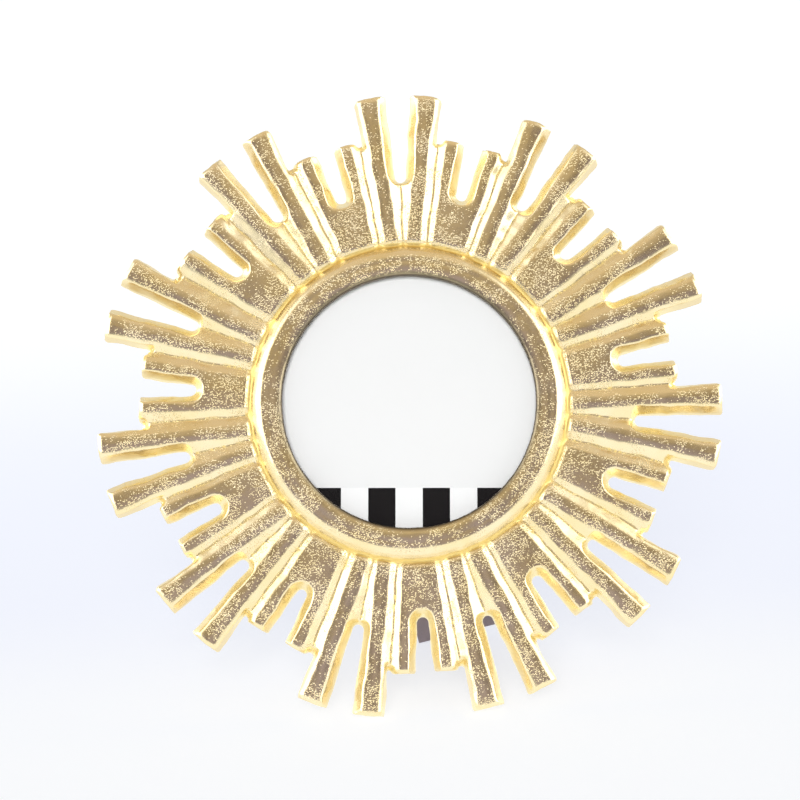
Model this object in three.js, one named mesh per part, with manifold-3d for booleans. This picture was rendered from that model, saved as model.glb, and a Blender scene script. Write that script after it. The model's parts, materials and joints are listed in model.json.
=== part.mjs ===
// Starburst picture frame: a cast sunburst round a glazed opening, held pack and easel leg.
// Millimetres. Pieces are shaped with x to the right, y up the face and z out of the face,
// the back of the casting at z = 0; the whole frame then leans back and stands on the floor.
import * as THREE from "three";
import { mergeVertices } from "three/addons/utils/BufferGeometryUtils.js";
import Module from "manifold-3d";

const wasm = await Module();
wasm.setup();

const deg = THREE.MathUtils.degToRad;

// Stance
const LEAN = deg(18);
const LEG_OPENING = deg(39.5);
const BACK_TURN = deg(11);

// Gaps between pieces
const SEAT_GAP = 0.3;
const BORE_CLEARANCE = 0.3;
const REBATE_CLEARANCE = 0.5;

// Sight opening and the pack behind it
const SIGHT_RADIUS = 47.5;
const GLASS_LAP = 3.3;
const GLASS_THICKNESS = 2;
const CARD_THICKNESS = 0.6;
const BOARD_THICKNESS = 3;

// Bead round the opening
const BEAD_WIDTH = 12.9;
const BEAD_LIP_INSET = 0.8;
const BEAD_CREST_INSET = 4;
const BEAD_BROW_INSET = 6.2;
const BEAD_BROW_ROLL = 0.25;
const BEAD_HEIGHT = 11.2;
const BEAD_LIP_HEIGHT = 10.2;
const BEAD_FOOT_HEIGHT = 6.3;

// Rays: eleven sectors, each with a long pair and a short pair
const SECTORS = 11;
const RAY_ROOT_INSET = 3.4;
const RAY_ROOT_RUN = 4.6;
const RAY_DRAFT = 1;
const RAY_END_RUN = 1.3;
const RAY_END_DROP = 0.9;
const RAY_END_INSET = 0.4;
const CROWN_RISE = 0.2;
const LONG_REACH = 57.2;
const LONG_ROOT_ANGLE = deg(3.5);
const LONG_TIP_ANGLE = deg(5.55);
const LONG_ROOT = { half: 2.25, crown: 8 };
const LONG_WAIST = { half: 2.2, crown: 7.7 };
const LONG_TIP = { half: 3, crown: 7.5 };
const LONG_TIP_RUN = 1.6;
const SHORT_REACH = 40.6;
const SHORT_ROOT = { half: 5.9, crown: 7.8 };
const SHORT_TIP = { half: 9.6, crown: 7.4 };
const SHORT_TIP_RUN = 2.2;

// Valleys between the rays: even slopes that meet in a line
const VALLEY_SLOPE = deg(32);
const VALLEY_ROOT_RUN = 2.5;
const VALLEY_TIP_RUN = 3.8;
const VALLEY_LAP = 0.9;

// How far each long pair was laid off its even place, clockwise from the top, and each short
// pair off the middle between its neighbours
const PAIR_LAY = [0.8, 0, -0.1, -1, -0.2, -0.6, -0.8, -0.6, -2.4, -1.6, 0.6].map(deg);
const SHORT_LAY = deg(0.2);

// Roll from a crown into its slope: share of the slope's run and of its drop
const EDGE_ROLL = [[1, 1], [0.22, 0.15], [0, 0]];

// Web behind the rays, notches beside the short tips and the slots that part each pair
const WEB_THICKNESS = 4.4;
const WEB_LIP = 0.5;
const NOTCH_DEPTH = 3.2;
const NOTCH_FLOOR = 0.6;
const NOTCH_BED = 2.6;
const LONG_SLOT = { depth: 32.5, floorHalf: 1.9, mouthHalf: 4.9 };
const SHORT_SLOT = { depth: 20.6, floorHalf: 2, mouthHalf: 3.5 };
const SLOT_FLARE = 2.9;
const SLOT_FOOT_FLARE = 0.3;
const SLOT_FOOT_HEIGHT = 3.4;

// Turn buttons and their screws
const BUTTON_COUNT = 4;
const BUTTON_EDGE = 4.2;
const BUTTON_LENGTH = 9.5;
const BUTTON_HALF_WIDTH = 3.8;
const BUTTON_THICKNESS = 1;
const SCREW_RADIUS = 1.3;
const SCREW_LENGTH = 5.5;
const SCREW_HEAD_RADIUS = 2.7;
const SCREW_HEAD_HEIGHT = 1.7;

// Easel: head block, leg and strap hinge
const EASEL_WIDTH = 34;
const LEG_THICKNESS = 3;
const LEG_STANDOFF = 0.5;
const HEAD_LENGTH = 17.5;
const HINGE_HEIGHT = 26;
const LEAF_HALF_WIDTH = 13;
const LEAF_LENGTH = 14;
const LEAF_THICKNESS = 0.8;
const KNUCKLE_RADIUS = 1.7;
const KNUCKLE_SPLIT = 4.4;
const KNUCKLE_ROOM = 0.5;
const PIN_RADIUS = 0.9;
const RIVET_SPACING = 8;
const RIVET_DROP = 9;
const RIVET_RADIUS = 1.1;
const RIVET_HEAD_RADIUS = 2.1;
const RIVET_HEAD_HEIGHT = 0.8;

// Fineness of the curves, how far a cutter passes the face that it opens, and the weld distance
const ROUND_STEPS = 66;
const BEAD_STEPS = 4;
const SLOT_STEPS = 9;
const SMALL_ROUND_STEPS = 16;
const BUTTON_END_STEPS = 8;
const HEAD_STEPS = 2;
const CUT_OVERRUN = 3;
const WELD = 5e-4;

// Sizes that follow from the ones above
const glassRadius = SIGHT_RADIUS + GLASS_LAP;
const rebateRadius = glassRadius + REBATE_CLEARANCE;
const rebateDepth = BOARD_THICKNESS + CARD_THICKNESS + GLASS_THICKNESS + 3 * SEAT_GAP;
const beadRadius = SIGHT_RADIUS + BEAD_WIDTH;
const rayRoot = beadRadius - RAY_ROOT_INSET;
const longTip = beadRadius + LONG_REACH;
const shortTip = beadRadius + SHORT_REACH;
const buttonCircle = rebateRadius + BUTTON_EDGE;
const easelOuter = LEG_STANDOFF + LEG_THICKNESS;
const hingeDepth = easelOuter + SEAT_GAP + LEAF_THICKNESS / 2;
const knuckleRoom = KNUCKLE_RADIUS + KNUCKLE_ROOM;
const pinBore = PIN_RADIUS + BORE_CLEARANCE / 2;
const rivetBore = RIVET_RADIUS + BORE_CLEARANCE;
const screwBore = SCREW_RADIUS + BORE_CLEARANCE;

// Finishes
const finish = (color, metalness, roughness) =>
  new THREE.MeshStandardMaterial({ color, metalness, roughness });
const gold = finish(0xc9a35a, 1, 0.28);
const clear = finish(0xe6efec, 0, 0.05);
const print = finish(0xefefef, 0, 0.7);
const board = finish(0x4a4850, 0, 0.9);
const steel = finish(0xb9b6ae, 1, 0.35);

// Turns a mesh into a solid that can be joined and cut
function solid(geometry) {
  const bare = geometry.clone();
  bare.deleteAttribute("normal");
  bare.deleteAttribute("uv");
  const welded = mergeVertices(bare, WELD);
  const snap = (value) => Math.round(value / WELD) * WELD;
  return new wasm.Manifold(
    new wasm.Mesh({
      numProp: 3,
      vertProperties: Float32Array.from(welded.attributes.position.array, snap),
      triVerts: Uint32Array.from(welded.index.array),
    }),
  );
}

// Turns a finished solid back into a mesh
function shapeOf(body) {
  const mesh = body.getMesh();
  const raw = new THREE.BufferGeometry();
  raw.setAttribute("position", new THREE.BufferAttribute(mesh.vertProperties, 3));
  raw.setIndex(new THREE.BufferAttribute(mesh.triVerts, 1));
  const geometry = mergeVertices(raw, 2 * WELD);
  const corners = [...geometry.index.array];
  const faces = corners.flatMap((first, i) => {
    const [second, third] = corners.slice(i + 1, i + 3);
    const whole = i % 3 === 0 && first !== second && second !== third && third !== first;
    return whole ? [first, second, third] : [];
  });
  geometry.setIndex(faces);
  geometry.computeVertexNormals();
  return geometry;
}

// Closed solid through a row of convex rings that run right-handed round its length
function loft(rings) {
  const count = rings[0].length;
  const points = rings.flat();
  const last = points.length - count;
  const index = [];
  for (let start = 0; start < last; start += count) {
    for (let i = 0; i < count; i += 1) {
      const here = start + i;
      const next = start + ((i + 1) % count);
      index.push(here, next, next + count, here, next + count, here + count);
    }
  }
  for (let i = 1; i < count - 1; i += 1) {
    index.push(0, i + 1, i, last, last + i, last + i + 1);
  }
  const geometry = new THREE.BufferGeometry().setFromPoints(points);
  geometry.setIndex(index);
  geometry.computeVertexNormals();
  return geometry;
}

// Body of revolution about z from a profile of radius and height
const revolve = (profile, steps) => new THREE.LatheGeometry(profile, steps).rotateX(Math.PI / 2);

// Flat plate from an outline in x and y, its lower face at the given z
const plate = (outline, low, thickness, steps) =>
  new THREE.ExtrudeGeometry(outline, { depth: thickness, bevelEnabled: false, curveSegments: steps })
    .translate(0, 0, low);

// Round bar along z between two heights
const barAlongZ = (radius, low, high, steps) =>
  new THREE.CylinderGeometry(radius, radius, high - low, steps)
    .rotateX(Math.PI / 2)
    .translate(0, 0, (low + high) / 2);

// Rectangle as an outline
function rectangle(left, bottom, right, top) {
  const outline = new THREE.Shape();
  outline.moveTo(left, bottom);
  outline.lineTo(right, bottom);
  outline.lineTo(right, top);
  outline.lineTo(left, top);
  outline.closePath();
  return outline;
}

// Bead ring with the rebate behind it: soft sight edge, low crest, even outer slope
function beadRing() {
  const crest = SIGHT_RADIUS + BEAD_CREST_INSET;
  const brow = new THREE.Vector2(SIGHT_RADIUS + BEAD_BROW_INSET, BEAD_HEIGHT);
  const foot = new THREE.Vector2(beadRadius, BEAD_FOOT_HEIGHT);
  const slopeTop = brow.clone().lerp(foot, BEAD_BROW_ROLL);
  const path = new THREE.Path();
  path.moveTo(SIGHT_RADIUS, rebateDepth);
  path.lineTo(SIGHT_RADIUS, BEAD_LIP_HEIGHT);
  path.quadraticCurveTo(SIGHT_RADIUS + BEAD_LIP_INSET, BEAD_HEIGHT, crest, BEAD_HEIGHT);
  path.quadraticCurveTo(brow.x, brow.y, slopeTop.x, slopeTop.y);
  path.lineTo(foot.x, foot.y);
  path.lineTo(beadRadius, 0);
  path.lineTo(rebateRadius, 0);
  path.lineTo(rebateRadius, rebateDepth);
  path.closePath();
  return revolve(path.getPoints(BEAD_STEPS).reverse(), ROUND_STEPS).rotateZ(Math.PI / ROUND_STEPS);
}

// Cross-section of a ray at a distance out: flat back, drafted sides, sloped shoulders, low crown
function rayRing(out, { half, crown }, leftRun, rightRun) {
  const shoulder = (side, run) =>
    EDGE_ROLL.map(([across, down]) => {
      const drop = run * Math.tan(VALLEY_SLOPE) * down;
      return new THREE.Vector3(side * (half + run * across), out, crown - drop);
    });
  return [
    ...shoulder(-1, leftRun),
    new THREE.Vector3(0, out, crown + CROWN_RISE),
    ...shoulder(1, rightRun).reverse(),
    new THREE.Vector3(half + rightRun + RAY_DRAFT, out, 0),
    new THREE.Vector3(-half - leftRun - RAY_DRAFT, out, 0),
  ];
}

// Section at the very end of a ray, where its crown rolls down
const endOf = ({ half, crown }) => ({ half: half - RAY_END_INSET, crown: crown - RAY_END_DROP });

// Section at the very root of a ray, under the bead, from which its crown slopes up
const rootOf = ({ half, crown }) => ({ half, crown: crown - RAY_ROOT_RUN * Math.tan(VALLEY_SLOPE) });

// Long ray on the right of its pair; its inner slope runs to the line between the two
function longRay() {
  const from = new THREE.Vector2(Math.sin(LONG_ROOT_ANGLE), Math.cos(LONG_ROOT_ANGLE));
  const to = new THREE.Vector2(Math.sin(LONG_TIP_ANGLE), Math.cos(LONG_TIP_ANGLE));
  from.multiplyScalar(rayRoot);
  to.multiplyScalar(longTip);
  const run = to.clone().sub(from);
  const length = run.length();
  const waist = shortTip - rayRoot - NOTCH_DEPTH;
  const narrow = waist + NOTCH_FLOOR;
  const inner = (out, half) =>
    THREE.MathUtils.lerp(from.x, to.x, out / length) - half + VALLEY_LAP;
  const end = length - RAY_END_RUN;
  return loft([
    rayRing(0, rootOf(LONG_ROOT), inner(0, LONG_ROOT.half), VALLEY_ROOT_RUN + VALLEY_LAP),
    rayRing(RAY_ROOT_RUN, LONG_ROOT, inner(RAY_ROOT_RUN, LONG_ROOT.half), VALLEY_ROOT_RUN + VALLEY_LAP),
    rayRing(waist, LONG_WAIST, inner(waist, LONG_WAIST.half), VALLEY_TIP_RUN + VALLEY_LAP),
    rayRing(narrow, LONG_WAIST, inner(narrow, LONG_WAIST.half), LONG_TIP_RUN),
    rayRing(end, LONG_TIP, inner(end, LONG_TIP.half), LONG_TIP_RUN),
    rayRing(length, endOf(LONG_TIP), inner(length, LONG_TIP.half), LONG_TIP_RUN),
  ])
    .rotateZ(-Math.atan2(run.x, run.y))
    .translate(from.x, from.y, 0);
}

// The other long ray of a pair
function mirrored(geometry) {
  const other = geometry.clone().scale(-1, 1, 1);
  other.setIndex([...other.index.array].reverse());
  return other;
}

// Short pair as one wide wedge, before its slot is cut; a wider sector widens its slopes
function shortPair(widening) {
  const length = shortTip - rayRoot;
  const rootRun = VALLEY_ROOT_RUN + VALLEY_LAP + widening * rayRoot;
  const tipRun = VALLEY_TIP_RUN + VALLEY_LAP + widening * shortTip;
  const endRun = SHORT_TIP_RUN + widening * shortTip;
  return loft([
    rayRing(0, rootOf(SHORT_ROOT), rootRun, rootRun),
    rayRing(RAY_ROOT_RUN, SHORT_ROOT, rootRun, rootRun),
    rayRing(length - NOTCH_DEPTH, SHORT_TIP, tipRun, tipRun),
    rayRing(length - NOTCH_DEPTH + NOTCH_FLOOR, SHORT_TIP, endRun, endRun),
    rayRing(length - RAY_END_RUN, SHORT_TIP, endRun, endRun),
    rayRing(length, endOf(SHORT_TIP), endRun, endRun),
  ]).translate(0, rayRoot, 0);
}

// Round-bottomed slot between two rays, open at the tip and flared towards the front
function slotCutter(tip, { depth, floorHalf, mouthHalf }) {
  const past = tip + CUT_OVERRUN;
  const centre = tip - depth + floorHalf;
  const slotRing = (z, flare) => {
    const ring = [new THREE.Vector3(-mouthHalf - flare, past, z)];
    for (let i = 0; i <= SLOT_STEPS; i += 1) {
      const turn = Math.PI * (1 + i / SLOT_STEPS);
      const reach = floorHalf + flare;
      ring.push(new THREE.Vector3(reach * Math.cos(turn), centre + reach * Math.sin(turn), z));
    }
    ring.push(new THREE.Vector3(mouthHalf + flare, past, z));
    return ring;
  };
  const slope = (SLOT_FLARE - SLOT_FOOT_FLARE) / (SHORT_TIP.crown - SLOT_FOOT_HEIGHT);
  return loft([
    slotRing(-CUT_OVERRUN, 0),
    slotRing(SLOT_FOOT_HEIGHT, SLOT_FOOT_FLARE),
    slotRing(BEAD_HEIGHT, SLOT_FOOT_FLARE + slope * (BEAD_HEIGHT - SLOT_FOOT_HEIGHT)),
  ]);
}

// Ring-shaped web behind the rays, with a step at its edge that makes the beds of the notches
function webRing() {
  const inner = (rebateRadius + beadRadius) / 2;
  const edge = shortTip - WEB_LIP;
  const step = shortTip - NOTCH_DEPTH;
  const profile = [
    new THREE.Vector2(inner, 0),
    new THREE.Vector2(edge, 0),
    new THREE.Vector2(edge, NOTCH_BED),
    new THREE.Vector2(step, NOTCH_BED),
    new THREE.Vector2(step, WEB_THICKNESS),
    new THREE.Vector2(inner, WEB_THICKNESS),
    new THREE.Vector2(inner, 0),
  ];
  return revolve(profile, ROUND_STEPS);
}

// The whole casting: long pairs at their laid angles, short pairs midway between them
function casting() {
  const sector = (2 * Math.PI) / SECTORS;
  const longAngles = PAIR_LAY.map((lay, k) => k * sector + lay);
  const turned = (geometry, angle) => solid(geometry.clone().rotateZ(-angle));
  const shortSlot = slotCutter(shortTip, SHORT_SLOT);
  const longSlot = slotCutter(longTip, LONG_SLOT);
  const right = longRay();
  const left = mirrored(right);
  let body = solid(webRing());
  longAngles.forEach((angle, k) => {
    const next = k + 1 < SECTORS ? longAngles[k + 1] : longAngles[0] + 2 * Math.PI;
    const middle = (angle + next) / 2 + SHORT_LAY;
    const widening = (next - angle - sector) / 2;
    body = body.add(turned(shortPair(widening), middle)).subtract(turned(shortSlot, middle));
  });
  for (const angle of longAngles) {
    body = body.add(turned(left, angle)).add(turned(right, angle)).subtract(turned(longSlot, angle));
  }
  body = body.add(solid(beadRing()));
  const bore = barAlongZ(screwBore, -CUT_OVERRUN, SCREW_LENGTH, SMALL_ROUND_STEPS);
  for (const spot of buttonSpots) {
    body = body.subtract(solid(bore.clone().translate(spot.x, spot.y, 0)));
  }
  return shapeOf(body);
}

// Round layer of the pack between two heights
const disc = (low, thickness) => barAlongZ(glassRadius, low, low + thickness, ROUND_STEPS);

// Turn button pointing along -y from its pivot, lying on the back
function turnButton() {
  const outline = new THREE.Shape();
  const end = BUTTON_LENGTH - BUTTON_HALF_WIDTH;
  outline.absarc(0, 0, BUTTON_HALF_WIDTH, 0, Math.PI);
  outline.absarc(0, -end, BUTTON_HALF_WIDTH, Math.PI, 2 * Math.PI);
  const hole = new THREE.Path();
  hole.absarc(0, 0, screwBore, 0, 2 * Math.PI, true);
  outline.holes.push(hole);
  return plate(outline, -SEAT_GAP - BUTTON_THICKNESS, BUTTON_THICKNESS, BUTTON_END_STEPS);
}

// Round-headed fastener along z: shank up to the top height, head behind the seat height
function headed(seat, top, shank, head, rise) {
  const path = new THREE.Path();
  path.moveTo(0, seat - rise);
  path.absellipse(0, seat, head, rise, 1.5 * Math.PI, 2 * Math.PI);
  path.lineTo(shank, seat);
  path.lineTo(shank, top);
  path.lineTo(0, top);
  return revolve(path.getPoints(HEAD_STEPS), SMALL_ROUND_STEPS);
}

// Strap hinge leaf in the plane of its pin, reaching up (1) or down (-1) from it
function hingeLeaf(reach, knuckles) {
  const outline = rectangle(-LEAF_HALF_WIDTH, knuckleRoom, LEAF_HALF_WIDTH, LEAF_LENGTH);
  for (const side of [-1, 1]) {
    const hole = new THREE.Path();
    hole.absarc(side * RIVET_SPACING, RIVET_DROP, rivetBore, 0, 2 * Math.PI, true);
    outline.holes.push(hole);
  }
  const low = -LEAF_THICKNESS / 2;
  let body = solid(plate(outline, low, LEAF_THICKNESS, SMALL_ROUND_STEPS / 2));
  for (const [from, to] of knuckles) {
    const barrel = barAlongZ(KNUCKLE_RADIUS, from, to, SMALL_ROUND_STEPS).rotateY(Math.PI / 2);
    const tang = plate(rectangle(from, 0, to, knuckleRoom + LEAF_THICKNESS), low, LEAF_THICKNESS, 1);
    const bore = barAlongZ(pinBore, from - CUT_OVERRUN, to + CUT_OVERRUN, SMALL_ROUND_STEPS);
    body = body.add(solid(barrel)).add(solid(tang)).subtract(solid(bore.rotateY(Math.PI / 2)));
  }
  const geometry = shapeOf(body);
  return reach > 0 ? geometry : geometry.rotateZ(Math.PI);
}

// Fibreboard strip between two heights, with the two rivet bores of its hinge leaf
function easelBoard(bottom, top, low, high, boreHeight) {
  let body = solid(plate(rectangle(-EASEL_WIDTH / 2, bottom, EASEL_WIDTH / 2, top), low, high - low, 1));
  for (const side of [-1, 1]) {
    const bore = barAlongZ(rivetBore, low - CUT_OVERRUN, high + CUT_OVERRUN, SMALL_ROUND_STEPS);
    body = body.subtract(solid(bore.translate(side * RIVET_SPACING, boreHeight, 0)));
  }
  return shapeOf(body);
}

// Adds one named piece to a group
function place(group, name, geometry, material) {
  const mesh = new THREE.Mesh(geometry, material);
  mesh.name = name;
  group.add(mesh);
  return mesh;
}

// Pivots of the turn buttons, midway between the upright and level lines
const buttonSpots = [...Array(BUTTON_COUNT).keys()].map((k) => {
  const angle = ((k + 0.5) * 2 * Math.PI) / BUTTON_COUNT;
  return {
    number: k + 1,
    angle,
    x: buttonCircle * Math.sin(angle),
    y: buttonCircle * Math.cos(angle),
  };
});

const group = new THREE.Group();
group.name = "starburst_picture_frame";
const face = new THREE.Group();
face.rotation.x = Math.PI / 2 - LEAN;
group.add(face);

// Casting, glazing and back
const frame = place(face, "starburst_frame", casting(), gold);
const glassLow = rebateDepth - SEAT_GAP - GLASS_THICKNESS;
const cardLow = glassLow - SEAT_GAP - CARD_THICKNESS;
place(face, "glass_pane", disc(glassLow, GLASS_THICKNESS), clear);
place(face, "picture_card", disc(cardLow, CARD_THICKNESS), print);
place(face, "back_board", disc(0, BOARD_THICKNESS), board);

// Turn buttons, each on its own screw
const screwSeat = -2 * SEAT_GAP - BUTTON_THICKNESS;
for (const { number, angle, x, y } of buttonSpots) {
  const button = place(face, `turn_button_${number}`, turnButton(), steel);
  button.position.set(x, y, 0);
  button.rotation.z = -angle;
  const shankTop = SCREW_LENGTH - BORE_CLEARANCE;
  const screw = headed(screwSeat, shankTop, SCREW_RADIUS, SCREW_HEAD_RADIUS, SCREW_HEAD_HEIGHT);
  place(face, `turn_screw_${number}`, screw, steel).position.set(x, y, 0);
}

// Easel head on the back, turned in the rebate with it
const easel = new THREE.Group();
easel.rotation.z = BACK_TURN;
face.add(easel);
const headBottom = HINGE_HEIGHT + knuckleRoom;
const headBoard = easelBoard(headBottom, headBottom + HEAD_LENGTH, -easelOuter, -SEAT_GAP,
  HINGE_HEIGHT + RIVET_DROP);
place(easel, "easel_head", headBoard, board);

// Hinge parts about the pin
const hinge = new THREE.Group();
hinge.position.set(0, HINGE_HEIGHT, -hingeDepth);
easel.add(hinge);
const split = KNUCKLE_SPLIT + SEAT_GAP;
const outerKnuckles = [[-LEAF_HALF_WIDTH, -split], [split, LEAF_HALF_WIDTH]];
const innerKnuckles = [[-KNUCKLE_SPLIT, KNUCKLE_SPLIT]];
place(hinge, "hinge_head_leaf", hingeLeaf(1, outerKnuckles), steel);
const pinHalf = LEAF_HALF_WIDTH + SEAT_GAP;
const pin = barAlongZ(PIN_RADIUS, -pinHalf, pinHalf, SMALL_ROUND_STEPS).rotateY(Math.PI / 2);
place(hinge, "hinge_pin", pin, steel);

// Leg swung out to its stop; it is cut so that its lower corner meets the floor
const leg = new THREE.Group();
leg.rotation.x = LEG_OPENING;
hinge.add(leg);
place(leg, "hinge_leg_leaf", hingeLeaf(-1, innerKnuckles), steel);
const legLow = SEAT_GAP + LEAF_THICKNESS / 2;
const legHigh = legLow + LEG_THICKNESS;
group.updateMatrixWorld(true);
const floor = new THREE.Box3().setFromObject(frame, true).min.z;
const legRun = new THREE.Vector3(0, -1, 0).transformDirection(leg.matrixWorld);
const legReach = [-1, 1]
  .flatMap((side) => [legLow, legHigh].map((z) => new THREE.Vector3((side * EASEL_WIDTH) / 2, 0, z)))
  .map((corner) => (floor - corner.applyMatrix4(leg.matrixWorld).z) / legRun.z);
const legLength = Math.min(...legReach);
const legBoard = easelBoard(-legLength, -knuckleRoom, legLow, legHigh, -RIVET_DROP);
place(leg, "easel_leg", legBoard, board);

// Rivets of both leaves
const rivetSeat = -LEAF_THICKNESS / 2 - SEAT_GAP;
for (const [side, word] of [[-1, "left"], [1, "right"]]) {
  const x = side * RIVET_SPACING;
  const headRivet = headed(rivetSeat, legLow + LEG_THICKNESS, RIVET_RADIUS, RIVET_HEAD_RADIUS,
    RIVET_HEAD_HEIGHT);
  place(hinge, `head_rivet_${word}`, headRivet, steel).position.set(x, RIVET_DROP, 0);
  const legRivet = headed(rivetSeat, legHigh, RIVET_RADIUS, RIVET_HEAD_RADIUS, RIVET_HEAD_HEIGHT);
  place(leg, `leg_rivet_${word}`, legRivet, steel).position.set(x, -RIVET_DROP, 0);
}

// Stands with its lowest points on the floor, centred over the origin
group.updateMatrixWorld(true);
const box = new THREE.Box3().setFromObject(group, true);
const middle = box.getCenter(new THREE.Vector3());
face.position.set(-middle.x, -middle.y, -box.min.z);
group.updateMatrixWorld(true);

export default group;
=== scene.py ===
"""Looks of the starburst picture frame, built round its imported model. Metres, +Z up, front towards -Y."""

import json
import math

import bmesh
import bpy
import numpy as np
from mathutils import Matrix, Vector, noise


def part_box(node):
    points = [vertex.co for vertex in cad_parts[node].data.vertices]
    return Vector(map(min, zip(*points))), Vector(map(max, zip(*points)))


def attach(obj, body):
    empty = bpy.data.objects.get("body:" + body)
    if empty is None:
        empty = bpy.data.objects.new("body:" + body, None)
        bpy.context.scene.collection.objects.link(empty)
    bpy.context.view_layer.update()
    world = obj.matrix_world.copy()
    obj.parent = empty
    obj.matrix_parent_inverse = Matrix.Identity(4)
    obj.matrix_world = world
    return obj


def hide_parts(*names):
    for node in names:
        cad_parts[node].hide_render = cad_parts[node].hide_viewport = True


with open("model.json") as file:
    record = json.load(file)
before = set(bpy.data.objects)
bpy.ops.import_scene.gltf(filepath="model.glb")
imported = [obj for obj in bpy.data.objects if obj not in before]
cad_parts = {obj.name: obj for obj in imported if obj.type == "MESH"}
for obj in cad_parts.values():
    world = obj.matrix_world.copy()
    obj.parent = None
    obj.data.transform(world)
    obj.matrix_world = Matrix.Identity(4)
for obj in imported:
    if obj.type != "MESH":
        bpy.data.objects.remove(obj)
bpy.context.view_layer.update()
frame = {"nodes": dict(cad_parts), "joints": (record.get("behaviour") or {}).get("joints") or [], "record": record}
nodes = frame["nodes"]
record = frame["record"]

MM = 0.001
WHITE = (1, 1, 1, 1)

# Face of the frame: its middle at the glass, x to the right, y up the face, z out of it
FACE_OUT = -Vector(next(m["axis"] for m in record["mounts"] if m["name"] == "wall_back"))
FACE_RIGHT = Vector((1, 0, 0))
FACE_UP = FACE_OUT.cross(FACE_RIGHT)
GLASS_LOW, GLASS_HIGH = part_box("glass_pane")
FACE_MIDDLE = (GLASS_LOW + GLASS_HIGH) / 2
FACE = Matrix.Translation(FACE_MIDDLE) @ Matrix((FACE_RIGHT, FACE_UP, FACE_OUT)).transposed().to_4x4()
GLASS_RADIUS = (GLASS_HIGH.x - GLASS_LOW.x) / 2

# Shape of the casting; waves and drift are pairs of a length and a height or reach
CAST_VOXEL = 0.5 * MM
CAST_SMOOTHING = 4
CAST_SMOOTH_FACTOR = 0.5
CAST_FACES = 170000
CAST_WAVES = ((11 * MM, 0.16 * MM), (4 * MM, 0.07 * MM))
CAST_DRIFT = ((8 * MM, 0.5 * MM), (3 * MM, 0.16 * MM))
CAST_SEED = 7
DRIFT_RADIUS = (62 * MM, 68 * MM)
BEAD_SWELL = 1.2 * MM
SWELL_RADIUS = (52.5 * MM, 60.4 * MM)

# Gold plate: its tones
GOLD_DEEP = (0.94, 0.79, 0.45, 1)
GOLD_PALE = (0.97, 0.84, 0.55, 1)
# Dark gold laid over the sight edge: painted shade
GOLD_SHADED = (0.16, 0.13, 0.09, 1)
# Deeper orange gold for creases and the bead's foot: painted light bounced between gold walls
GOLD_CREASE_BOUNCE = (0.97, 0.75, 0.27, 1)
# Steep walls: paler where the slots shelter them and darker in the open, keyed to occlusion: painted light bounced
# between the slot walls
GOLD_SLOT_WALL_LIT = (0.97, 0.86, 0.53, 1)
GOLD_OPEN_WALL_DIM = (0.86, 0.73, 0.44, 1)
TONE_SIZE = 14 * MM
TONE_RANGE = (0.35, 0.65)

# Gold plate: zones by radius on the face, and by how squarely a surface faces out of it
# Radii over which the sight edge is painted in shade
SIGHT_WALL = (47.9 * MM, 49.4 * MM)
# Band at the bead's foot that is painted a deeper gold for bounced light
BEAD_FOOT = (58.4 * MM, 59.3 * MM, 60.3 * MM, 60.9 * MM)
RAY_ROOTS = (60.4 * MM, 61.2 * MM, 64 * MM, 70 * MM)
CROWN_FACING = (0.9, 0.975)
SLOPE_FACING = (0.7, 0.8)
WALL_FACING = (0.45, 0.75)
FRONT_FACING = (0, 0.3)

# Gold plate: creases painted a deeper gold, and slot walls painted paler where the slots shelter them, both for
# light bounced between gold walls
CREASE_POINTINESS = (0.468, 0.49)
CREASE_SHARE = 0.9
SLOT_REACH = 9 * MM
SLOT_SAMPLES = 8
SLOT_SHELTER = (0.72, 0.97)

# Gold plate: polish and ripple
CREASE_METALLIC = 0.4
RAW_ROUGHNESS = 0.42
POLISH_SIZE = 3 * MM
POLISH_RANGE = (0.3, 0.7)
POLISH_ROUGHNESS = (0.18, 0.28)
RIPPLE_SIZE = 2.6 * MM
RIPPLE_DETAIL = 2
RIPPLE_HEIGHT = 0.1 * MM
RIPPLE_STRENGTH = 0.6

# Sand grains on the gold: their size, and the share of them that stands in each zone
GRAIN_CELL = 0.46 * MM
GRAIN_HEIGHT = 0.13 * MM
GRAIN_DOME = (0.05, 0.5)
PATCH_SIZE = 9 * MM
PATCH_RANGE = (0.4, 0.6)
PATCH_SHARE = (0.08, 0.85)
ROOT_SHARE = 0.75
LOOSE_SIZE = 13 * MM
LOOSE_RANGE = (0.44, 0.6)
LOOSE_SHARE = 0.8

# Glass
GLASS_EDGE = 0.3 * MM
GLASS_IOR = 1.2
GLASS_TINT = (0.985, 0.995, 0.99, 1)
SMEAR_SIZE = 30 * MM
SMEAR_DETAIL = 4
SMEAR_RANGE = (0.45, 0.8)
SMEAR_ROUGHNESS = (0, 0.03)

# Printed card; the dark stripe's colour is in display values
CARD_SEGMENTS = 160
CARD_ROUGHNESS = 0.62
CARD_SPECULAR = 0.1
CARD_FIBRE = 0.5 * MM
CARD_FIBRE_DETAIL = 4
CARD_FIBRE_HEIGHT = 0.01 * MM
CARD_FIBRE_STRENGTH = 0.4
FIELD_DULL = (0.905, 0.905, 0.905, 1)
FIELD_PALE = (0.925, 0.925, 0.925, 1)
PRINT_TURN = math.radians(-2.9)
STRIPE_WIDTH = 10.2 * MM
STRIPE_TOP = -32 * MM
STRIPE_START = 100.25
STRIPE_HALF = 0.5
STRIPE_PALE = (0.99, 0.99, 0.99, 1)
STRIPE_DARK = (27, 25, 26)

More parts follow.
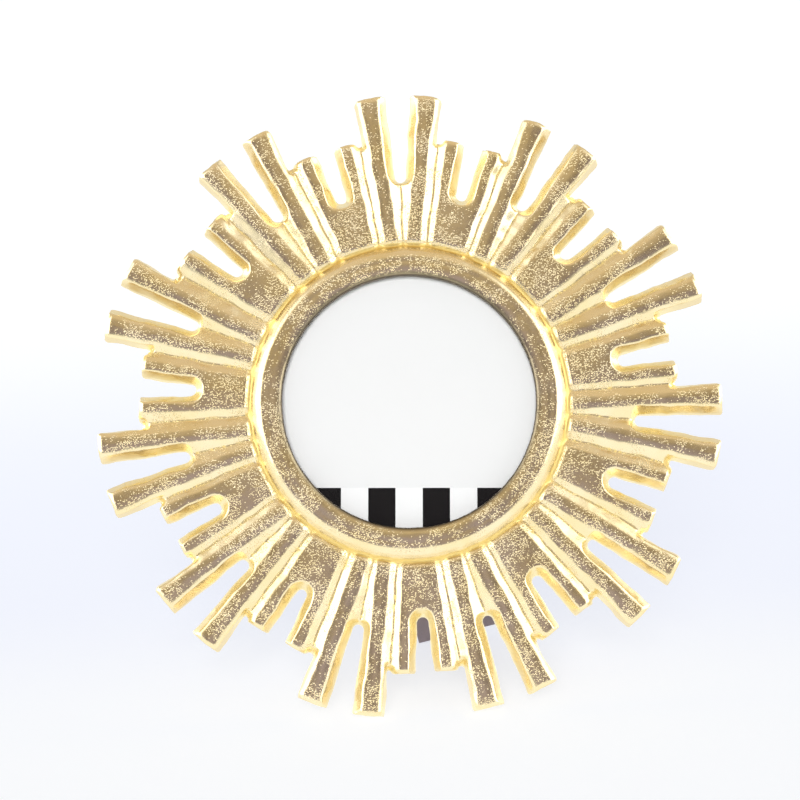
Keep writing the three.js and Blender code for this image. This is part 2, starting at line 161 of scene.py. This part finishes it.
# Papered fibreboard, with its colours in display values
BOARD_EDGE = 0.35 * MM
BOARD_DULL = (194, 184, 222)
BOARD_PALE = (216, 204, 242)
BOARD_WORN = (200, 190, 188)
BOARD_SPECULAR = 0.3
BOARD_FIBRE = 0.9 * MM
BOARD_FIBRE_DETAIL = 5
BOARD_FIBRE_ROUGHNESS = 0.65
BOARD_FIBRE_HEIGHT = 0.05 * MM
BOARD_FIBRE_STRENGTH = 0.6
BOARD_FIBRE_RANGE = (0.3, 0.7)
BOARD_ROUGHNESS = (0.7, 0.92)
BOARD_CLOUD = 18 * MM
BOARD_CLOUD_LIFT = 0.5
BOARD_TONE_RANGE = (0.3, 0.75)
BOARD_WEAR_POINTINESS = (0.52, 0.58)
BOARD_WEAR_SHARE = (0, 0.5)

# Pressed steel
METAL_EDGE = 0.18 * MM
STEEL_DULL = (0.52, 0.52, 0.5, 1)
STEEL_BRIGHT = (0.72, 0.71, 0.68, 1)
STEEL_GREY = (0.42, 0.42, 0.42, 1)
STEEL_FLAKE = 1.1 * MM
STEEL_FLAKE_SHARE = 0.3
STEEL_HAZE = 4 * MM
STEEL_HAZE_DETAIL = 4
STEEL_HAZE_RANGE = (0.3, 0.7)
STEEL_ROUGHNESS = (0.26, 0.44)
STEEL_GRAIN = 0.3 * MM
STEEL_GRAIN_HEIGHT = 0.02 * MM
STEEL_GRAIN_STRENGTH = 0.5

# Rounded edges of the nodes that keep their shape
EDGE_SEGMENTS = 3
EDGE_ANGLE = math.radians(35)

# Screw heads; the cross is in shares of the head's radius
SCREW_RINGS = 26
SCREW_SEGMENTS = 72
SCREW_RIM = 0.999
SCREW_MARGIN = 0.1 * MM
CROSS_ARM = 0.36
CROSS_REACH = 0.66
CROSS_DEPTH = 0.9 * MM

# Light tent: strengths and tints
AMBIENT = 0.35
AMBIENT_THROUGH_GLASS = 0.2
TENT_PANELS = (2.6, 1.3)
TENT_FRONT = (0.42, 0.25)
TENT_TOP = 0.74
TENT_LOW_TINT = (1, 0.87, 1.08, 1)
TENT_HIGH_TINT = (1, 0.83, 0.63, 1)

# Light tent: where its panels lie, as parts of a direction of length one
PANEL_ASIDE = (0.45, 0.72)
PANEL_OFFSET = 0.02
PANEL_HEIGHT = (0.5, 0.85)
PANEL_LEAN_HEIGHT = (0.45, 0.8)
PANEL_LEAN = (0, 0.16)
OVERHEAD_DEPTH = (-0.02, 0.12)
OVERHEAD_HEIGHT = (0.45, 0.65)
OVERHEAD_SHARE = (0, 0.75)
FRONT_ASIDE = (0.02, 0.25)
FRONT_OFFSET = 0.04
BEHIND_DEPTH = (0.2, 0.8)
TOP_HEIGHT = (0.4, 0.85)
TINT_HEIGHT = (0.3, 0.46)

# Floor
FLOOR_SEGMENTS = 96
FLOOR_RADIUS = 14
FLOOR_DULL = (0.39, 0.395, 0.4, 1)
FLOOR_PALE = (0.41, 0.415, 0.42, 1)
FLOOR_ROUGHNESS = 0.8
FLOOR_SPECULAR = 0.1
FLOOR_CLOUD = 0.6
FLOOR_CLOUD_DETAIL = 2
FLOOR_MIRRORED = (0.4, 1.12)
FLOOR_MIRRORED_REACH = (-1.1, -0.3)
FLOOR_GLOW = (0.71, 0.86)
FLOOR_GLOW_REACH = (-0.2, 1.2)
FLOOR_TINT = (0.95, 0.968, 1, 1)
# Cooler, dimmer glow across a band behind the frame: painted shade
FLOOR_SHADE = (0.85, 0.885, 1, 1)
FLOOR_SHADE_BAND = (-0.08, 0.15, 0.3, 0.95)
# Dimmer glow round a spot under the frame: painted shadow
FLOOR_UNDER = (0.012, -0.002, 0)
FLOOR_UNDER_REACH = (0.01, 0.06)
FLOOR_UNDER_GLOW = 0.93

# Lamp
LAMP_SPOT = Vector((-0.2, -3.9, 1.35))
LAMP_SIZE = 1.2
LAMP_POWER = 121

# Camera
CAMERA_TARGET = Vector((-3.4 * MM, -12 * MM, 112.9 * MM))
CAMERA_DISTANCE = 1
CAMERA_PITCH = math.radians(10.9)
CAMERA_AZIMUTH = math.radians(0.15)
CAMERA_ROLL = math.radians(2.9)
CAMERA_LENS = 119.4

# Sockets of the Mix node that hold its share, its two colours and its result
MIX_SHARE = 0
MIX_FIRST = 6
MIX_SECOND = 7
MIX_RESULT = 2


def linear(red, green, blue):
    """Linear colour from display values of 0 to 255."""
    def channel(value):
        share = value / 255
        return share / 12.92 if share <= 0.04045 else ((share + 0.055) / 1.055) ** 2.4
    return (channel(red), channel(green), channel(blue), 1)


def add(tree, kind, inputs=None, **settings):
    """New node; an input that is a socket is linked, and any other value is set on its own socket."""
    made = tree.nodes.new(kind)
    for name, value in settings.items():
        setattr(made, name, value)
    for key, value in (inputs or {}).items():
        if isinstance(value, bpy.types.NodeSocket):
            tree.links.new(value, made.inputs[key])
        else:
            made.inputs[key].default_value = value
    return made


def calc(tree, operation, first, second=0.5):
    """Number worked out from one or two numbers."""
    return add(tree, "ShaderNodeMath", {0: first, 1: second}, operation=operation).outputs[0]


def spread(tree, value, low, high, to_low=0, to_high=1, smooth=False):
    """Value carried from one range to another, held at the ends."""
    kind = "SMOOTHSTEP" if smooth else "LINEAR"
    ends = {"Value": value, "From Min": low, "From Max": high, "To Min": to_low, "To Max": to_high}
    return add(tree, "ShaderNodeMapRange", ends, interpolation_type=kind).outputs["Result"]


def within(tree, value, rise, full, fall, end):
    """One between two values and nothing outside them, with soft ends."""
    up = spread(tree, value, rise, full, smooth=True)
    down = spread(tree, value, fall, end, 1, 0, smooth=True)
    return calc(tree, "MULTIPLY", up, down)


def measure(tree, operation, first, second=None):
    """Number worked out from one or two vectors."""
    inputs = {0: first} if second is None else {0: first, 1: second}
    return add(tree, "ShaderNodeVectorMath", inputs, operation=operation).outputs["Value"]


def vector_from(tree, operation, first, second):
    """Vector worked out from two vectors."""
    return add(tree, "ShaderNodeVectorMath", {0: first, 1: second}, operation=operation).outputs["Vector"]


def blend(tree, share, first, second):
    """Colour between two colours."""
    inputs = {MIX_SHARE: share, MIX_FIRST: first, MIX_SECOND: second}
    return add(tree, "ShaderNodeMix", inputs, data_type="RGBA").outputs[MIX_RESULT]


def grain(tree, place, size, detail=3, roughness=0.55):
    """Noise whose features are about the given size in metres."""
    inputs = {"Vector": place, "Scale": 1 / size, "Detail": detail, "Roughness": roughness}
    return add(tree, "ShaderNodeTexNoise", inputs).outputs["Fac"]


def cells(tree, place, size):
    """Texture node of cells of about the given size in metres."""
    return add(tree, "ShaderNodeTexVoronoi", {"Vector": place, "Scale": 1 / size})


def bump(tree, height, distance, strength=1, under=None):
    """Normal from a height, laid over another normal where one is given."""
    inputs = {"Height": height, "Distance": distance, "Strength": strength}
    if under is not None:
        inputs["Normal"] = under
    return add(tree, "ShaderNodeBump", inputs).outputs[0]


def material(name, **constants):
    """Material with one Principled shader; returns it with its tree, shader and object coordinates."""
    made = bpy.data.materials.new(name)
    made.use_nodes = True
    tree = made.node_tree
    shader = tree.nodes["Principled BSDF"]
    for key, value in constants.items():
        shader.inputs[key.replace("_", " ")].default_value = value
    place = add(tree, "ShaderNodeTexCoord").outputs["Object"]
    return made, tree, shader, place


def sand_grains(tree, place, facing, roots):
    """Height of the sand grains: in patches on crowns and ray roots, and loose on the slopes."""
    patches = spread(tree, grain(tree, place, PATCH_SIZE), *PATCH_RANGE, *PATCH_SHARE, smooth=True)
    patches = calc(tree, "MAXIMUM", patches, calc(tree, "MULTIPLY", roots, ROOT_SHARE))
    grit = cells(tree, place, GRAIN_CELL)
    chance = add(tree, "ShaderNodeSeparateColor", {0: grit.outputs["Color"]}).outputs[0]
    present = calc(tree, "LESS_THAN", chance, patches)
    dome = spread(tree, grit.outputs["Distance"], *GRAIN_DOME, 1, 0, smooth=True)
    crown = spread(tree, facing, *CROWN_FACING, smooth=True)
    loose = spread(tree, grain(tree, place, LOOSE_SIZE), *LOOSE_RANGE, 0, LOOSE_SHARE, smooth=True)
    slopes = calc(tree, "MULTIPLY", spread(tree, facing, *SLOPE_FACING), loose)
    sandy = calc(tree, "MAXIMUM", calc(tree, "MAXIMUM", crown, roots), slopes)
    return calc(tree, "MULTIPLY", calc(tree, "MULTIPLY", dome, present), sandy)


def gold_finish():
    """Satin gold plate with sand grains, rougher and paler on steep walls; painted light: walls paler in the slots
    and darker in the open, creases and the bead's foot a deeper orange gold for light bounced between gold walls,
    and painted shade at the sight edge.
    """
    made, tree, shader, place = material("gold_plated_casting")
    link = tree.links.new
    surface = add(tree, "ShaderNodeNewGeometry")
    offset = vector_from(tree, "SUBTRACT", place, FACE_MIDDLE)
    radius = measure(tree, "LENGTH", vector_from(tree, "CROSS_PRODUCT", offset, FACE_OUT))
    facing = measure(tree, "DOT_PRODUCT", surface.outputs["Normal"], FACE_OUT)
    front = spread(tree, facing, *FRONT_FACING)

    roots = calc(tree, "MULTIPLY", within(tree, radius, *RAY_ROOTS), front)
    grains = sand_grains(tree, place, facing, roots)
    ripple = grain(tree, place, RIPPLE_SIZE, RIPPLE_DETAIL)
    rippled = bump(tree, ripple, RIPPLE_HEIGHT, RIPPLE_STRENGTH)
    link(bump(tree, grains, GRAIN_HEIGHT, under=rippled), shader.inputs["Normal"])

    tone = spread(tree, grain(tree, place, TONE_SIZE), *TONE_RANGE)
    plated = blend(tree, tone, GOLD_DEEP, GOLD_PALE)
    # Steep walls are paler where the slots shelter them and darker where open: painted light bounced between the
    # slot walls
    steep_walls = spread(tree, facing, *WALL_FACING, 1, 0, smooth=True)
    shelter = add(tree, "ShaderNodeAmbientOcclusion", {"Distance": SLOT_REACH}, samples=SLOT_SAMPLES)
    open_share = spread(tree, shelter.outputs["AO"], *SLOT_SHELTER)
    plated = blend(tree, steep_walls, plated, blend(tree, open_share, GOLD_SLOT_WALL_LIT, GOLD_OPEN_WALL_DIM))
    # Creases and the bead's foot take a deeper orange gold, and creases are also less metallic: painted light
    # bounced between gold walls
    hollow = spread(tree, surface.outputs["Pointiness"], *CREASE_POINTINESS, CREASE_SHARE, 0)
    foot = calc(tree, "MULTIPLY", within(tree, radius, *BEAD_FOOT), front)
    crease_bounce_mask = calc(tree, "MAXIMUM", hollow, foot)
    plated = blend(tree, crease_bounce_mask, plated, GOLD_CREASE_BOUNCE)
    # Darker towards the opening: painted shade at the sight edge
    sight = spread(tree, radius, *SIGHT_WALL, 1, 0)
    link(blend(tree, sight, plated, GOLD_SHADED), shader.inputs["Base Color"])

    link(spread(tree, hollow, 0, 1, 1, CREASE_METALLIC), shader.inputs["Metallic"])
    polish = spread(tree, grain(tree, place, POLISH_SIZE), *POLISH_RANGE, *POLISH_ROUGHNESS)
    unpolished = calc(tree, "MULTIPLY", calc(tree, "MAXIMUM", steep_walls, crease_bounce_mask), RAW_ROUGHNESS)
    link(calc(tree, "MAXIMUM", polish, unpolished), shader.inputs["Roughness"])
    return made


def glass_finish():
    """Clear glass with faint smears, which lets lamplight through to the card."""
    made, tree, shader, place = material("clear_glass", Transmission_Weight=1, IOR=GLASS_IOR)
    link = tree.links.new
    smear = grain(tree, place, SMEAR_SIZE, SMEAR_DETAIL)
    link(spread(tree, smear, *SMEAR_RANGE, *SMEAR_ROUGHNESS), shader.inputs["Roughness"])
    link(blend(tree, smear, GLASS_TINT, WHITE), shader.inputs["Base Color"])
    shadow = add(tree, "ShaderNodeLightPath").outputs["Is Shadow Ray"]
    see_through = add(tree, "ShaderNodeBsdfTransparent").outputs[0]
    mixed = add(tree, "ShaderNodeMixShader", {0: shadow, 1: shader.outputs[0], 2: see_through})
    link(mixed.outputs[0], tree.nodes["Material Output"].inputs["Surface"])
    return made


def card_finish():
    """Matt print: pale grey field over a band of upright stripes; the UVs are metres on the card."""
    made, tree, shader, place = material(
        "printed_card", Roughness=CARD_ROUGHNESS, Specular_IOR_Level=CARD_SPECULAR
    )
    link = tree.links.new
    across = add(tree, "ShaderNodeTexCoord").outputs["UV"]
    split = add(tree, "ShaderNodeSeparateXYZ", {0: across})
    turns = calc(tree, "DIVIDE", split.outputs["X"], 2 * STRIPE_WIDTH)
    phase = calc(tree, "FRACT", calc(tree, "ADD", turns, STRIPE_START))
    dark = calc(tree, "GREATER_THAN", phase, STRIPE_HALF)
    stripes = blend(tree, dark, STRIPE_PALE, linear(*STRIPE_DARK))
    band = calc(tree, "LESS_THAN", split.outputs["Y"], STRIPE_TOP)
    fibre = grain(tree, place, CARD_FIBRE, CARD_FIBRE_DETAIL)
    field = blend(tree, fibre, FIELD_DULL, FIELD_PALE)
    link(blend(tree, band, field, stripes), shader.inputs["Base Color"])
    link(bump(tree, fibre, CARD_FIBRE_HEIGHT, CARD_FIBRE_STRENGTH), shader.inputs["Normal"])
    return made


def board_finish():
    """Papered fibreboard with a cloudy tone, worn paler along its edges."""
    made, tree, shader, place = material("charcoal_board", Specular_IOR_Level=BOARD_SPECULAR)
    link = tree.links.new
    fibre = grain(tree, place, BOARD_FIBRE, BOARD_FIBRE_DETAIL, BOARD_FIBRE_ROUGHNESS)
    cloud = grain(tree, place, BOARD_CLOUD)
    mixed = calc(tree, "MULTIPLY", fibre, calc(tree, "ADD", cloud, BOARD_CLOUD_LIFT))
    tone = spread(tree, mixed, *BOARD_TONE_RANGE)
    paper = blend(tree, tone, linear(*BOARD_DULL), linear(*BOARD_PALE))
    edge = add(tree, "ShaderNodeNewGeometry").outputs["Pointiness"]
    worn = spread(tree, edge, *BOARD_WEAR_POINTINESS, *BOARD_WEAR_SHARE)
    link(blend(tree, worn, paper, linear(*BOARD_WORN)), shader.inputs["Base Color"])
    link(spread(tree, fibre, *BOARD_FIBRE_RANGE, *BOARD_ROUGHNESS), shader.inputs["Roughness"])
    link(bump(tree, fibre, BOARD_FIBRE_HEIGHT, BOARD_FIBRE_STRENGTH), shader.inputs["Normal"])
    return made


def steel_finish():
    """Zinc plated steel with a faint flake and a haze."""
    made, tree, shader, place = material("zinc_plated_steel", Metallic=1)
    link = tree.links.new
    flakes = cells(tree, place, STEEL_FLAKE).outputs["Distance"]
    haze = grain(tree, place, STEEL_HAZE, STEEL_HAZE_DETAIL)
    plate = blend(tree, haze, STEEL_DULL, STEEL_BRIGHT)
    flaked = calc(tree, "MULTIPLY", flakes, STEEL_FLAKE_SHARE)
    link(blend(tree, flaked, plate, STEEL_GREY), shader.inputs["Base Color"])
    link(spread(tree, haze, *STEEL_HAZE_RANGE, *STEEL_ROUGHNESS), shader.inputs["Roughness"])
    rough = grain(tree, place, STEEL_GRAIN)
    link(bump(tree, rough, STEEL_GRAIN_HEIGHT, STEEL_GRAIN_STRENGTH), shader.inputs["Normal"])
    return made


def in_scene(name, data):
    """New object in the scene."""
    made = bpy.data.objects.new(name, data)
    bpy.context.scene.collection.objects.link(made)
    return made


def mesh_from(shape, name):
    """Mesh of a finished bmesh, which is freed."""
    mesh = bpy.data.meshes.new(name)
    shape.to_mesh(mesh)
    shape.free()
    return mesh


def new_piece(name, mesh, finish, body, slot, *replaced):
    """Object of a finished mesh that rides a body and stands for CAD nodes."""
    piece = in_scene(name, mesh)
    mesh.materials.clear()
    mesh.materials.append(finish)
    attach(piece, body)
    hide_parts(*replaced)


def shaped(mesh, *modifiers):
    """Copy of a mesh with modifiers worked in, given as a kind and its settings."""
    holder = in_scene("holder", mesh)
    for kind, settings in modifiers:
        modifier = holder.modifiers.new(kind, kind)
        for name, value in settings.items():
            setattr(modifier, name, value)
    graph = bpy.context.evaluated_depsgraph_get()
    result = bpy.data.meshes.new_from_object(holder.evaluated_get(graph))
    bpy.data.objects.remove(holder)
    return result


def per_vertex(mesh, attribute):
    """Three numbers for each vertex of a mesh, as rows."""
    flat = np.empty(len(mesh.vertices) * 3)
    mesh.vertices.foreach_get(attribute, flat)
    return flat.reshape(-1, 3)


def make_casting(finish):
    """The sunburst: rounded over as a casting is, with the waves and drift of a hand-carved pattern."""
    start = nodes["starburst_frame"].data.copy()
    start.transform(FACE.inverted())
    fine = shaped(
        start,
        ("REMESH", {"mode": "VOXEL", "voxel_size": CAST_VOXEL}),
        ("SMOOTH", {"factor": CAST_SMOOTH_FACTOR, "iterations": CAST_SMOOTHING}),
    )
    spots = per_vertex(fine, "co")
    normals = per_vertex(fine, "normal")
    lift = np.zeros(len(spots))
    for length, height in CAST_WAVES:
        lift += [height * noise.noise(Vector(spot) / length) for spot in spots]
    moved = spots + normals * lift[:, None]
    radius = np.hypot(spots[:, 0], spots[:, 1])
    swell = BEAD_SWELL * np.sin(math.pi * np.interp(radius, SWELL_RADIUS, (0, 1))) ** 2
    moved[:, 2] += swell * (normals[:, 2] > 0)
    outside = np.interp(radius, DRIFT_RADIUS, (0, 1))
    noise.seed_set(CAST_SEED)
    for length, reach in CAST_DRIFT:
        drift = np.array([noise.noise_vector(Vector(spot) / length)[:2] for spot in spots])
        moved[:, :2] += drift * reach * outside[:, None]
    moved = np.clip(moved, spots.min(axis=0), spots.max(axis=0))
    fine.vertices.foreach_set("co", moved.ravel())
    share = CAST_FACES / (2 * len(fine.polygons))
    mesh = shaped(fine, ("DECIMATE", {"ratio": min(1, share)}))
    mesh.transform(FACE)
    low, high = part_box("starburst_frame")
    mesh.vertices.foreach_set("co", np.clip(per_vertex(mesh, "co"), low, high).ravel())
    mesh.shade_smooth()
    new_piece("cast_starburst", mesh, finish, "frame", "gold_casting", "starburst_frame")


def make_card(finish):
    """Round card with its print laid level; the UVs are metres from the middle of the card."""
    turn = np.array(FACE.to_3x3())
    offset = per_vertex(nodes["picture_card"].data, "co") @ turn - turn.T @ np.array(FACE_MIDDLE)
    back, front = offset[:, 2].min(), offset[:, 2].max()
    shape = bmesh.new()
    rims = []
    for depth in (back, front):
        rim = []
        for step in range(CARD_SEGMENTS):
            angle = 2 * math.pi * step / CARD_SEGMENTS
            x = GLASS_RADIUS * math.cos(angle)
            y = GLASS_RADIUS * math.sin(angle)
            rim.append(shape.verts.new((x, y, depth)))
        rims.append(rim)
        shape.faces.new(rim)
    for step in range(CARD_SEGMENTS):
        after = (step + 1) % CARD_SEGMENTS
        shape.faces.new((rims[0][step], rims[0][after], rims[1][after], rims[1][step]))
    bmesh.ops.recalc_face_normals(shape, faces=shape.faces)
    layer = shape.loops.layers.uv.new("print")
    level = Matrix.Rotation(-PRINT_TURN, 3, "Z")
    for face in shape.faces:
        for loop in face.loops:
            loop[layer].uv = (level @ loop.vert.co).xy
    mesh = mesh_from(shape, "striped_card")
    mesh.transform(FACE)
    new_piece("striped_card", mesh, finish, "frame", "card", "picture_card")


def in_cross(x, y, reach):
    """True inside a cross recess whose arms reach out from the middle."""
    near, far = sorted((abs(x), abs(y)))
    return far < reach * CROSS_REACH and near < reach * CROSS_ARM / 2


def make_screw(number, finish):
    """Round-headed screw with a cross recess, on the pivot of its turn button."""
    node = f"turn_screw_{number}"
    joint = next(j for j in frame["joints"] if j["name"] == f"turn_button_{number}_swing")
    stand = Matrix.Translation(Vector(joint["pos_m"])) @ FACE.to_3x3().to_4x4()
    to_stand = stand.inverted()
    spots = [to_stand @ Vector(spot) for spot in per_vertex(nodes[node].data, "co")]
    reach = max(spot.xy.length for spot in spots)
    tip = min(spot.z for spot in spots)
    top = max(spot.z for spot in spots)
    seat = max(spot.z for spot in spots if spot.xy.length > SCREW_RIM * reach)
    ends = [spot.xy.length for spot in spots if spot.z > top - SCREW_MARGIN]
    shank = min(length for length in ends if length > SCREW_MARGIN)
    rings = []
    for ring in range(1, SCREW_RINGS + 1):
        angle = math.pi / 2 * ring / SCREW_RINGS
        rings.append((reach * math.sin(angle), seat + (tip - seat) * math.cos(angle)))
    rings += [(shank, seat), (shank, top)]
    shape = bmesh.new()
    middle = shape.verts.new((0, 0, tip + CROSS_DEPTH))
    rows = []
    for radius, height in rings:
        row = []
        for step in range(SCREW_SEGMENTS):
            turn = 2 * math.pi * step / SCREW_SEGMENTS
            x = radius * math.cos(turn)
            y = radius * math.sin(turn)
            sunk = CROSS_DEPTH if height < seat and in_cross(x, y, reach) else 0
            row.append(shape.verts.new((x, y, height + sunk)))
        rows.append(row)
    for step in range(SCREW_SEGMENTS):
        after = (step + 1) % SCREW_SEGMENTS
        shape.faces.new((middle, rows[0][after], rows[0][step]))
        for inner, outer in zip(rows, rows[1:]):
            shape.faces.new((inner[step], inner[after], outer[after], outer[step]))
    shape.faces.new(rows[-1])
    bmesh.ops.recalc_face_normals(shape, faces=shape.faces)
    mesh = mesh_from(shape, f"cross_screw_{number}")
    mesh.transform(stand)
    mesh.shade_smooth()
    new_piece(f"cross_screw_{number}", mesh, finish, "frame", "steel", node)


def dress(node, finish, edge):
    """CAD node that keeps its shape: rounded edges and a finish."""
    piece = nodes[node]
    piece.data.materials.clear()
    piece.data.materials.append(finish)
    bevel = piece.modifiers.new("edge", "BEVEL")
    bevel.width = edge
    bevel.segments = EDGE_SEGMENTS
    bevel.limit_method = "ANGLE"
    bevel.angle_limit = EDGE_ANGLE
    piece.data.shade_smooth()
    smooth = piece.modifiers.new("shade", "WEIGHTED_NORMAL")
    smooth.keep_sharp = True


def make_floor():
    """Wide pale floor whose glow carries painted shade: a cooler, dimmer band behind the frame and a painted
    shadow under it; in gloss it dims towards the front.
    """
    shape = bmesh.new()
    bmesh.ops.create_circle(shape, cap_ends=True, segments=FLOOR_SEGMENTS, radius=FLOOR_RADIUS)
    mesh = mesh_from(shape, "floor")
    floor = in_scene("floor", mesh)
    made, tree, shader, place = material(
        "pale_floor", Roughness=FLOOR_ROUGHNESS, Specular_IOR_Level=FLOOR_SPECULAR
    )
    link = tree.links.new
    cloud = grain(tree, place, FLOOR_CLOUD, FLOOR_CLOUD_DETAIL)
    link(blend(tree, cloud, FLOOR_DULL, FLOOR_PALE), shader.inputs["Base Color"])
    path = add(tree, "ShaderNodeLightPath")
    depth = add(tree, "ShaderNodeSeparateXYZ", {0: place}).outputs["Y"]
    # Painted shade: the glow turns cooler and dimmer across a band behind the frame
    band = within(tree, depth, *FLOOR_SHADE_BAND)
    link(blend(tree, band, FLOOR_TINT, FLOOR_SHADE), shader.inputs["Emission Color"])
    seen = calc(tree, "MAXIMUM", path.outputs["Is Camera Ray"], path.outputs["Is Transmission Ray"])
    glow = spread(tree, depth, *FLOOR_GLOW_REACH, *FLOOR_GLOW)
    # Painted shadow: the glow dims round a spot under the frame
    away = measure(tree, "DISTANCE", place, FLOOR_UNDER)
    under = spread(tree, away, *FLOOR_UNDER_REACH, FLOOR_UNDER_GLOW, 1, smooth=True)
    glow = calc(tree, "MULTIPLY", glow, under)
    link(calc(tree, "MULTIPLY", seen, glow), shader.inputs["Emission Strength"])
    fade = spread(tree, depth, *FLOOR_MIRRORED_REACH, *FLOOR_MIRRORED, smooth=True)
    mirrored = add(tree, "ShaderNodeEmission", {"Color": WHITE, "Strength": fade}).outputs[0]
    mix = {0: path.outputs["Is Glossy Ray"], 1: shader.outputs[0], 2: mirrored}
    mixed = add(tree, "ShaderNodeMixShader", mix).outputs[0]
    link(mixed, tree.nodes["Material Output"].inputs["Surface"])
    mesh.materials.append(made)


def make_world():
    """Plain ambient light and white to sight; gloss sees a tent with bright sides and a dim, warm front."""
    world = bpy.data.worlds.new("light_tent")
    bpy.context.scene.world = world
    world.use_nodes = True
    tree = world.node_tree
    way = add(tree, "ShaderNodeTexCoord").outputs["Generated"]
    split = add(tree, "ShaderNodeSeparateXYZ", {0: way})
    across = split.outputs["X"]
    depth = split.outputs["Y"]
    height = split.outputs["Z"]

    aside = calc(tree, "ABSOLUTE", calc(tree, "ADD", across, PANEL_OFFSET))
    aside = calc(tree, "ADD", aside, spread(tree, height, *PANEL_LEAN_HEIGHT, *PANEL_LEAN, smooth=True))
    panels = spread(tree, height, *PANEL_HEIGHT, *TENT_PANELS, smooth=True)
    overhead = spread(tree, depth, *OVERHEAD_DEPTH)
    raised = spread(tree, height, *OVERHEAD_HEIGHT, *OVERHEAD_SHARE, smooth=True)
    overhead = calc(tree, "MULTIPLY", overhead, raised)
    sides = spread(tree, aside, *PANEL_ASIDE, smooth=True)
    sides = calc(tree, "MULTIPLY", sides, calc(tree, "SUBTRACT", 1, overhead))

    middle = calc(tree, "ABSOLUTE", calc(tree, "ADD", across, FRONT_OFFSET))
    front = spread(tree, middle, *FRONT_ASIDE, *TENT_FRONT, smooth=True)
    behind = spread(tree, depth, *BEHIND_DEPTH, smooth=True)
    level = spread(tree, height, *TOP_HEIGHT, front, TENT_TOP, smooth=True)
    level = calc(tree, "MAXIMUM", level, behind)
    level = calc(tree, "MAXIMUM", level, calc(tree, "MULTIPLY", sides, panels))
    tint = blend(tree, spread(tree, height, *TINT_HEIGHT), TENT_LOW_TINT, TENT_HIGH_TINT)
    tent = blend(tree, calc(tree, "MAXIMUM", sides, behind), tint, WHITE)

    path = add(tree, "ShaderNodeLightPath")
    through = path.outputs["Is Transmission Ray"]
    mirrored = calc(tree, "SUBTRACT", path.outputs["Is Glossy Ray"], through)
    mirrored = calc(tree, "MAXIMUM", mirrored, 0)
    ground = tree.nodes["Background"]
    tree.links.new(blend(tree, mirrored, WHITE, tent), ground.inputs["Color"])
    ambient = spread(tree, through, 0, 1, AMBIENT, AMBIENT_THROUGH_GLASS)
    plain = spread(tree, path.outputs["Is Camera Ray"], 0, 1, ambient, 1)
    tree.links.new(spread(tree, mirrored, 0, 1, plain, level), ground.inputs["Strength"])


def make_lamp():
    """Soft square lamp aimed at the frame, for matt surfaces; gloss sees the tent instead."""
    light = bpy.data.lights.new("front_lamp", "AREA")
    light.size = LAMP_SIZE
    light.energy = LAMP_POWER
    lamp = in_scene("front_lamp", light)
    lamp.location = LAMP_SPOT
    lamp.rotation_euler = (CAMERA_TARGET - LAMP_SPOT).to_track_quat("-Z", "Y").to_euler()
    lamp.visible_glossy = False
    lamp.visible_transmission = False
    lamp.visible_camera = False


def make_camera():
    """Camera at the photograph's viewing angle."""
    sight = bpy.data.cameras.new("camera")
    sight.lens = CAMERA_LENS
    camera = in_scene("camera", sight)
    flat = math.cos(CAMERA_PITCH)
    ahead = Vector((
        math.sin(CAMERA_AZIMUTH) * flat,
        math.cos(CAMERA_AZIMUTH) * flat,
        -math.sin(CAMERA_PITCH),
    ))
    turn = ahead.to_track_quat("-Z", "Y").to_matrix().to_4x4() @ Matrix.Rotation(-CAMERA_ROLL, 4, "Z")
    camera.matrix_world = Matrix.Translation(CAMERA_TARGET - ahead * CAMERA_DISTANCE) @ turn
    bpy.context.scene.camera = camera


bpy.context.scene.view_settings.view_transform = "Standard"
make_camera()
make_world()
make_floor()
make_lamp()

board = board_finish()
steel = steel_finish()

make_casting(gold_finish())
make_card(card_finish())
dress("glass_pane", glass_finish(), GLASS_EDGE)
for name in ("back_board", "easel_head", "easel_leg"):
    dress(name, board, BOARD_EDGE)
for name in ("hinge_head_leaf", "hinge_leg_leaf", "hinge_pin"):
    dress(name, steel, METAL_EDGE)
for side in ("left", "right"):
    for part in ("head", "leg"):
        dress(f"{part}_rivet_{side}", steel, METAL_EDGE)
for number in (1, 2, 3, 4):
    dress(f"turn_button_{number}", steel, METAL_EDGE)
    make_screw(number, steel)
